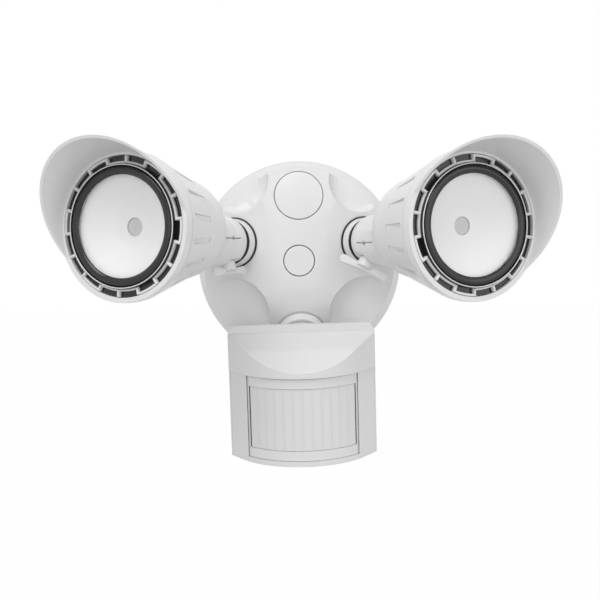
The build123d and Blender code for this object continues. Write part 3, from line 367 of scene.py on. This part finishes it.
def ribTree():
    # fine upright ribs set out along a bowed sheet
    sizes = {"Count": 9, "Radius": 40.0, "Reach": 40.0, "Height": 30.0, "Width": 0.3, "Proud": 0.1, "Finish": None}
    tree, start, end = newTree("windowRibs", sizes)
    out = start.outputs
    last = add(tree, "ShaderNodeMath", [(0, out["Count"]), (1, 1)], operation="SUBTRACT")
    step = add(tree, "ShaderNodeMath", [(0, out["Reach"]), (1, last.outputs[0])], operation="DIVIDE")
    offset = add(tree, "ShaderNodeCombineXYZ", [("X", step.outputs[0])])
    half = add(tree, "ShaderNodeMath", [(0, out["Reach"]), (1, -0.5)], operation="MULTIPLY")
    first = add(tree, "ShaderNodeCombineXYZ", [("X", half.outputs[0])])
    line = add(tree, "GeometryNodeMeshLine", [
        ("Count", out["Count"]), ("Start Location", first.outputs[0]), ("Offset", offset.outputs[0]),
    ])
    position = add(tree, "GeometryNodeInputPosition")
    parts = add(tree, "ShaderNodeSeparateXYZ", [("Vector", position.outputs[0])])
    angle = add(tree, "ShaderNodeMath", [(0, parts.outputs["X"]), (1, out["Radius"])], operation="DIVIDE")
    sine = add(tree, "ShaderNodeMath", [(0, angle.outputs[0])], operation="SINE")
    cosine = add(tree, "ShaderNodeMath", [(0, angle.outputs[0])], operation="COSINE")
    x = add(tree, "ShaderNodeMath", [(0, sine.outputs[0]), (1, out["Radius"])], operation="MULTIPLY")
    z = add(tree, "ShaderNodeMath", [(0, cosine.outputs[0]), (1, out["Radius"])], operation="MULTIPLY")
    bent = add(tree, "ShaderNodeCombineXYZ", [("X", x.outputs[0]), ("Z", z.outputs[0])])
    store = add(tree, "GeometryNodeCaptureAttribute", [("Geometry", line.outputs["Mesh"])])
    store.capture_items.new("FLOAT", "Angle")
    tree.links.new(angle.outputs[0], store.inputs["Angle"])
    moved = add(tree, "GeometryNodeSetPosition", [
        ("Geometry", store.outputs["Geometry"]), ("Position", bent.outputs[0]),
    ])
    size = add(tree, "ShaderNodeCombineXYZ", [("X", out["Width"]), ("Y", out["Height"]), ("Z", out["Proud"])])
    rib = add(tree, "GeometryNodeMeshCube", [("Size", size.outputs[0])])
    spin = add(tree, "ShaderNodeCombineXYZ", [("Y", store.outputs["Angle"])])
    copies = add(tree, "GeometryNodeInstanceOnPoints", [
        ("Points", moved.outputs["Geometry"]), ("Instance", rib.outputs["Mesh"]), ("Rotation", spin.outputs[0]),
    ])
    endTree(tree, start, end, copies.outputs["Instances"])
    return tree


spokeWheel = wheelTree()
screwThread = threadTree()
windowRibs = ribTree()
print("geometry trees built")

halfTooth = 180 / crown["spokes"]
for side in heads:
    sizes = {
        "Count": crown["spokes"],
        "Inner": crown["inner"],
        "Outer": crown["outer"],
        "Thickness": crown["thickness"],
        "Turn": math.radians(crown["turn"][side] + halfTooth),
        "Finish": materials["white_plastic"],
    }
    mesh = grow(spokeWheel, sizes, side + "CrownSpokes", onCrown(side))
    addPiece(side + "CrownSpokes", mesh, side + "_head", "white_plastic")
print("crown spokes made")

# the sensor's own frame: up along the window, out through it
joints = {joint["name"]: joint for joint in record["behaviour"]["joints"]}
sensorPivot = Vector(joints["sensor_tilt"]["pos_m"]) / mm
sensorUp = -Vector(joints["middle_dial_turn"]["axis"])
sensorAcross = (Vector(joints["right_dial_turn"]["pos_m"]) - Vector(joints["left_dial_turn"]["pos_m"])).normalized()
sensorOut = sensorAcross.cross(sensorUp)

window = {
    "count": 11,
    "radius": 41.4,
    "reach": 56.0,
    "height": 34.6,
    "middle": -35.5,
    "centre": -10.0,
    "width": 0.3,
    "proud": 0.006,
}
sizes = {
    "Count": window["count"],
    "Radius": window["radius"],
    "Reach": window["reach"],
    "Height": window["height"],
    "Width": window["width"],
    "Proud": window["proud"],
    "Finish": materials["window_plastic"],
}
place = placed(sensorPivot, sensorOut, sensorUp, 0, window["middle"], window["centre"])
mesh = grow(windowRibs, sizes, "windowRibs", place)
addPiece("windowRibs", mesh, "sensor_head", "window_plastic")

ticks = {
    "count": 11,
    "inner": 5.6,
    "outer": 6.8,
    "thickness": 0.22,
    "spacing": 17.0,
    "bottom": -62.0,
    "out": 17.0,
}
for step, side in ((-1, "left"), (0, "middle"), (1, "right")):
    sizes = {
        "Count": ticks["count"],
        "Inner": ticks["inner"],
        "Outer": ticks["outer"],
        "Thickness": ticks["thickness"],
        "Turn": 0.0,
        "Finish": materials["white_plastic"],
    }
    # the dials face down, so their wheel's axis is the sensor's down
    dial = sensorPivot + sensorAcross * step * ticks["spacing"]
    dial += sensorUp * ticks["bottom"] + sensorOut * ticks["out"]
    place = placed(dial, -sensorUp, sensorOut)
    mesh = grow(spokeWheel, sizes, side + "DialTicks", place)
    addPiece(side + "DialTicks", mesh, "sensor_head", "white_plastic")

thread = {
    "start": 3.0,
    "pitch": 0.8,
    "radius": 2.0,
    "crest": 0.14,
    "count": 22,
}
sizes = {
    "Count": thread["count"],
    "Radius": thread["radius"],
    "Pitch": thread["pitch"],
    "Crest": thread["crest"],
    "Finish": materials["zinc_steel"],
}
place = placed((0, -thread["start"], 0), (0, -1, 0), (0, 0, 1))
mesh = grow(screwThread, sizes, "centreScrewThread", place)
addPiece("centreScrewThread", mesh, "base", "zinc_steel")
print("ribs, ticks and thread made")

view = {
    "distance": 800 * mm,
    "height": -22.85 * mm,
    "side": 0.28 * mm,
    "lens": 80,
    "level": 90,
    "roll": 0.5,
}

cameraData = bpy.data.cameras.new("camera")
cameraData.lens = view["lens"]
camera = bpy.data.objects.new("camera", cameraData)
camera.location = (view["side"], -view["distance"], view["height"])
camera.rotation_euler = (math.radians(view["level"]), math.radians(view["roll"]), 0)
bpy.context.scene.collection.objects.link(camera)
bpy.context.scene.camera = camera


# soft area lamps, in metres and watts
lamps = {
    "key": {"place": (-0.45, -0.9, 1.0), "target": (0, -0.05, 0), "size": 0.8, "power": 7.0},
    "fill": {"place": (0.8, -0.9, 0.3), "target": (0, -0.05, 0), "size": 0.9, "power": 2.2},
    "front": {"place": (0.0, -1.2, -0.13), "target": (0, -0.05, -0.05), "size": 0.9, "power": 1.2},
}


def addLamp(name, lamp):
    lampData = bpy.data.lights.new(name, "AREA")
    lampData.size = lamp["size"]
    lampData.energy = lamp["power"]
    holder = bpy.data.objects.new(name, lampData)
    holder.location = lamp["place"]
    aim = Vector(lamp["target"]) - Vector(lamp["place"])
    holder.rotation_euler = aim.to_track_quat("-Z", "Y").to_euler()
    bpy.context.scene.collection.objects.link(holder)


for name, lamp in lamps.items():
    addLamp(name, lamp)
print("camera and lamps ready")

studio = {
    "light": 0.62,
    "backdrop": 1.0,
    "floorHeight": -210 * mm,
    "floorSize": 60,
    "floorColor": (0.66, 0.66, 0.66),
    "floorRoughness": 0.8,
    "floorWhite": 0.985,  # how far the floor is lifted to the backdrop's white
}


def seenDirectly(nodes, links):
    # camera, glossy and transmission rays together
    path = nodes.new("ShaderNodeLightPath")
    total = path.outputs["Is Camera Ray"]
    for name in ("Is Glossy Ray", "Is Transmission Ray"):
        larger = nodes.new("ShaderNodeMath")
        larger.operation = "MAXIMUM"
        links.new(total, larger.inputs[0])
        links.new(path.outputs[name], larger.inputs[1])
        total = larger.outputs[0]
    return total


bpy.ops.mesh.primitive_plane_add(size=studio["floorSize"], location=(0, 0, studio["floorHeight"]))
floor = bpy.context.object
floor.name = "floor"
floorMaterial = bpy.data.materials.new("floor")
floorMaterial.use_nodes = True
floorNodes = floorMaterial.node_tree.nodes
floorLinks = floorMaterial.node_tree.links
floorShader = floorNodes["Principled BSDF"]
floorShader.inputs["Base Color"].default_value = (*studio["floorColor"], 1)
floorShader.inputs["Roughness"].default_value = studio["floorRoughness"]
glow = floorNodes.new("ShaderNodeEmission")
share = floorNodes.new("ShaderNodeMath")
share.operation = "MULTIPLY"
share.inputs[1].default_value = studio["floorWhite"]
floorLinks.new(seenDirectly(floorNodes, floorLinks), share.inputs[0])
blend = floorNodes.new("ShaderNodeMixShader")
floorLinks.new(share.outputs[0], blend.inputs["Fac"])
floorLinks.new(floorShader.outputs["BSDF"], blend.inputs[1])
floorLinks.new(glow.outputs["Emission"], blend.inputs[2])
floorLinks.new(blend.outputs["Shader"], floorNodes["Material Output"].inputs["Surface"])
floor.data.materials.append(floorMaterial)

world = bpy.data.worlds.new("studio")
bpy.context.scene.world = world
world.use_nodes = True
worldNodes = world.node_tree.nodes
worldLinks = world.node_tree.links
soft = worldNodes["Background"]
soft.inputs["Color"].default_value = (1, 1, 1, 1)
soft.inputs["Strength"].default_value = studio["light"]
seen = worldNodes.new("ShaderNodeBackground")
seen.inputs["Color"].default_value = (1, 1, 1, 1)
seen.inputs["Strength"].default_value = studio["backdrop"]
mix = worldNodes.new("ShaderNodeMixShader")
worldLinks.new(seenDirectly(worldNodes, worldLinks), mix.inputs["Fac"])
worldLinks.new(soft.outputs["Background"], mix.inputs[1])
worldLinks.new(seen.outputs["Background"], mix.inputs[2])
worldLinks.new(mix.outputs["Shader"], worldNodes["World Output"].inputs["Surface"])

bpy.context.scene.view_settings.view_transform = "Standard"
print("floor and backdrop ready")
